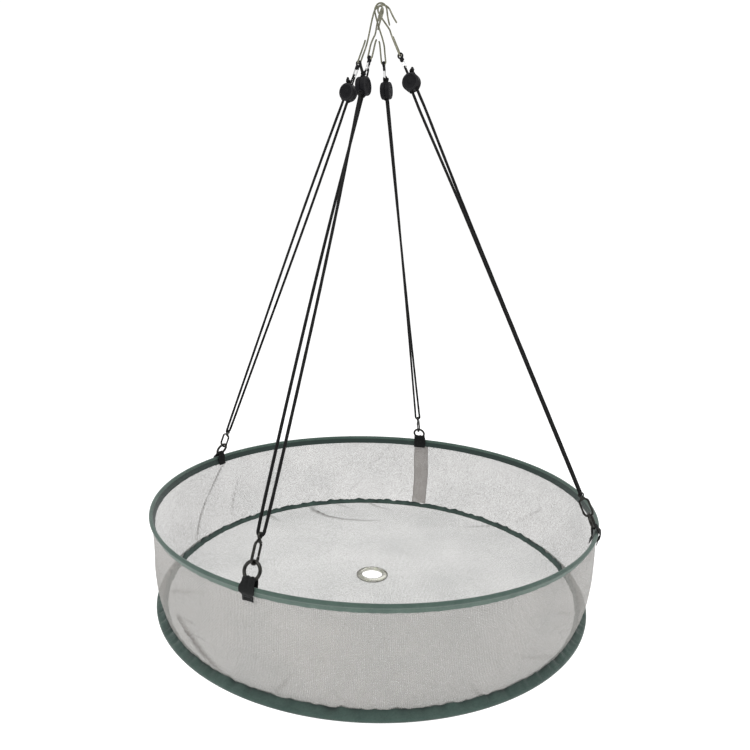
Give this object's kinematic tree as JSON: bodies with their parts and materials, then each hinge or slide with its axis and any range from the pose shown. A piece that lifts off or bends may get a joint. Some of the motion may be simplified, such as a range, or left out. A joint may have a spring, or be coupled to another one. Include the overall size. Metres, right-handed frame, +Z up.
{
  "type": "hanging mesh tray",
  "caption": "Round collapsible mesh tray with two taped wire hoops, a grommet in its floor and adjustable cord hangers that meet at one hanging point.",
  "frame": {"origin": "the hanging point where the four top hooks meet; the tray hangs below it", "axes": "+Z up, -Y towards the front of the tray; the tray's own centre line is at x = 14.5 mm, because the four hangers are set to slightly different lengths"},
  "size_m": [0.7736, 0.7736, 0.9931],
  "materials": {
    "tape": "dark green woven binding tape",
    "mesh": "pale grey see-through polyester mesh",
    "spring_wire": "plain spring steel wire inside the binding",
    "nickel": "nickel plated, slightly dulled",
    "gunmetal": "black oxide, worn to dark grey",
    "webbing": "black woven webbing",
    "cord": "black braided cord",
    "black_plastic": "satin black moulding",
    "steel": "plain steel pin"
  },
  "bodies": {
    "upper_ring": {"upper_binding": "tape", "upper_hoop_wire": "spring_wire", "side_mesh": "mesh", "webbing_tab_front": "webbing", "webbing_tab_right": "webbing", "webbing_tab_back": "webbing", "webbing_tab_left": "webbing"},
    "lower_ring": {"lower_binding": "tape", "lower_hoop_wire": "spring_wire", "floor_mesh": "mesh", "grommet_face": "nickel", "grommet_washer": "nickel"},
    "hanger_front": {"o_ring_front": "gunmetal", "snap_hook_front": "gunmetal", "cord_front": "cord"},
    "gate_front": {"snap_gate_front": "gunmetal"},
    "adjuster_front": {"adjuster_cover_front": "black_plastic", "adjuster_case_front": "black_plastic", "wheel_axle_front": "steel", "loop_cord_front": "cord", "link_front": "nickel", "eye_front": "black_plastic"},
    "wheel_front": {"cord_wheel_front": "black_plastic"},
    "hook_front": {"top_hook_front": "nickel"},
    "hanger_right": {"o_ring_right": "gunmetal", "snap_hook_right": "gunmetal", "cord_right": "cord"},
    "gate_right": {"snap_gate_right": "gunmetal"},
    "adjuster_right": {"adjuster_cover_right": "black_plastic", "adjuster_case_right": "black_plastic", "wheel_axle_right": "steel", "loop_cord_right": "cord", "link_right": "nickel", "eye_right": "black_plastic"},
    "wheel_right": {"cord_wheel_right": "black_plastic"},
    "hook_right": {"top_hook_right": "nickel"},
    "hanger_back": {"o_ring_back": "gunmetal", "snap_hook_back": "gunmetal", "cord_back": "cord"},
    "gate_back": {"snap_gate_back": "gunmetal"},
    "adjuster_back": {"adjuster_cover_back": "black_plastic", "adjuster_case_back": "black_plastic", "wheel_axle_back": "steel", "loop_cord_back": "cord", "link_back": "nickel", "eye_back": "black_plastic"},
    "wheel_back": {"cord_wheel_back": "black_plastic"},
    "hook_back": {"top_hook_back": "nickel"},
    "hanger_left": {"o_ring_left": "gunmetal", "snap_hook_left": "gunmetal", "cord_left": "cord"},
    "gate_left": {"snap_gate_left": "gunmetal"},
    "adjuster_left": {"adjuster_cover_left": "black_plastic", "adjuster_case_left": "black_plastic", "wheel_axle_left": "steel", "loop_cord_left": "cord", "link_left": "nickel", "eye_left": "black_plastic"},
    "wheel_left": {"cord_wheel_left": "black_plastic"},
    "hook_left": {"top_hook_left": "nickel"}
  },
  "joints": [
    {"name": "tray_collapse", "type": "slide", "parent": "upper_ring", "child": "lower_ring", "axis": [0, 0, 1], "range_m": [0, 0.135], "deforming": ["side_mesh"]},
    {"name": "swing_front", "type": "hinge", "parent": "upper_ring", "child": "hanger_front", "pos_m": [-0.13986, -0.34669, -0.819], "axis": [0.9149, -0.4037, 0.0072], "range_deg": [0, 115]},
    {"name": "gate_front", "type": "hinge", "parent": "hanger_front", "child": "gate_front", "pos_m": [-0.1301, -0.32391, -0.7814], "axis": [-0.9149, 0.4037, -0.0072], "range_deg": [0, 28], "stiffness_Nm_per_rad": 0.02, "springref_deg": -11.46},
    {"name": "adjust_front", "type": "slide", "parent": "hanger_front", "child": "adjuster_front", "axis": [-0.1618, -0.383, -0.9095], "range_m": [0, 0.55], "deforming": ["cord_front"]},
    {"name": "wheel_front", "type": "hinge", "parent": "adjuster_front", "child": "wheel_front", "pos_m": [-0.02062, -0.0645, -0.14893], "axis": [0.9149, -0.4037, 0.0072], "range_deg": [-5200, 0]},
    {"name": "hook_front", "type": "hinge", "parent": "adjuster_front", "child": "hook_front", "pos_m": [-0.01246, -0.0452, -0.1031], "axis": [0.9149, -0.4037, 0.0072], "range_deg": [0, 110]},
    {"name": "swing_right", "type": "hinge", "parent": "upper_ring", "child": "hanger_right", "pos_m": [0.36383, -0.14828, -0.819], "axis": [0.3918, 0.9201, -0.0023], "range_deg": [0, 115]},
    {"name": "gate_right", "type": "hinge", "parent": "hanger_right", "child": "gate_right", "pos_m": [0.34025, -0.13815, -0.782], "axis": [-0.3918, -0.9201, 0.0023], "range_deg": [0, 28], "stiffness_Nm_per_rad": 0.02, "springref_deg": -11.46},
    {"name": "adjust_right", "type": "slide", "parent": "hanger_right", "child": "adjuster_right", "axis": [0.4015, -0.1732, -0.8993], "range_m": [0, 0.55], "deforming": ["cord_right"]},
    {"name": "wheel_right", "type": "hinge", "parent": "adjuster_right", "child": "wheel_right", "pos_m": [0.0552, -0.01511, -0.12761], "axis": [0.3918, 0.9201, -0.0023], "range_deg": [-5200, 0]},
    {"name": "hook_right", "type": "hinge", "parent": "adjuster_right", "child": "hook_right", "pos_m": [0.03617, -0.0069, -0.08498], "axis": [0.3918, 0.9201, -0.0023], "range_deg": [0, 110]},
    {"name": "swing_back", "type": "hinge", "parent": "upper_ring", "child": "hanger_back", "pos_m": [0.1191, 0.3648, -0.819], "axis": [-0.9586, 0.2841, -0.0192], "range_deg": [0, 115]},
    {"name": "gate_back", "type": "hinge", "parent": "hanger_back", "child": "gate_back", "pos_m": [0.11136, 0.34121, -0.78143], "axis": [0.9586, -0.2841, 0.0192], "range_deg": [0, 28], "stiffness_Nm_per_rad": 0.02, "springref_deg": -11.46},
    {"name": "adjust_back", "type": "slide", "parent": "hanger_back", "child": "adjuster_back", "axis": [0.1352, 0.3946, -0.9089], "range_m": [0, 0.55], "deforming": ["cord_back"]},
    {"name": "wheel_back", "type": "hinge", "parent": "adjuster_back", "child": "wheel_back", "pos_m": [0.01514, 0.06129, -0.11997], "axis": [-0.9586, 0.2841, -0.0192], "range_deg": [-5200, 0]},
    {"name": "hook_back", "type": "hinge", "parent": "adjuster_back", "child": "hook_back", "pos_m": [0.00955, 0.04495, -0.08234], "axis": [-0.9586, 0.2841, -0.0192], "range_deg": [0, 110]},
    {"name": "swing_left", "type": "hinge", "parent": "upper_ring", "child": "hanger_left", "pos_m": [-0.3158, 0.18688, -0.819], "axis": [-0.4962, -0.8681, -0.0097], "range_deg": [0, 115]},
    {"name": "gate_left", "type": "hinge", "parent": "hanger_left", "child": "gate_left", "pos_m": [-0.29454, 0.1743, -0.78135], "axis": [0.4962, 0.8681, 0.0097], "range_deg": [0, 28], "stiffness_Nm_per_rad": 0.02, "springref_deg": -11.46},
    {"name": "adjust_left", "type": "slide", "parent": "hanger_left", "child": "adjuster_left", "axis": [-0.3549, 0.2131, -0.9103], "range_m": [0, 0.55], "deforming": ["cord_left"]},
    {"name": "wheel_left", "type": "hinge", "parent": "adjuster_left", "child": "wheel_left", "pos_m": [-0.04868, 0.02651, -0.13392], "axis": [-0.4962, -0.8681, -0.0097], "range_deg": [-5200, 0]},
    {"name": "hook_left", "type": "hinge", "parent": "adjuster_left", "child": "hook_left", "pos_m": [-0.03186, 0.01641, -0.09077], "axis": [-0.4962, -0.8681, -0.0097], "range_deg": [0, 110]}
  ],
  "couplings": [
    {"joint": "wheel_front", "follows": "adjust_front", "rad_per_m": -160},
    {"joint": "wheel_right", "follows": "adjust_right", "rad_per_m": -160},
    {"joint": "wheel_back", "follows": "adjust_back", "rad_per_m": -160},
    {"joint": "wheel_left", "follows": "adjust_left", "rad_per_m": -160}
  ]
}
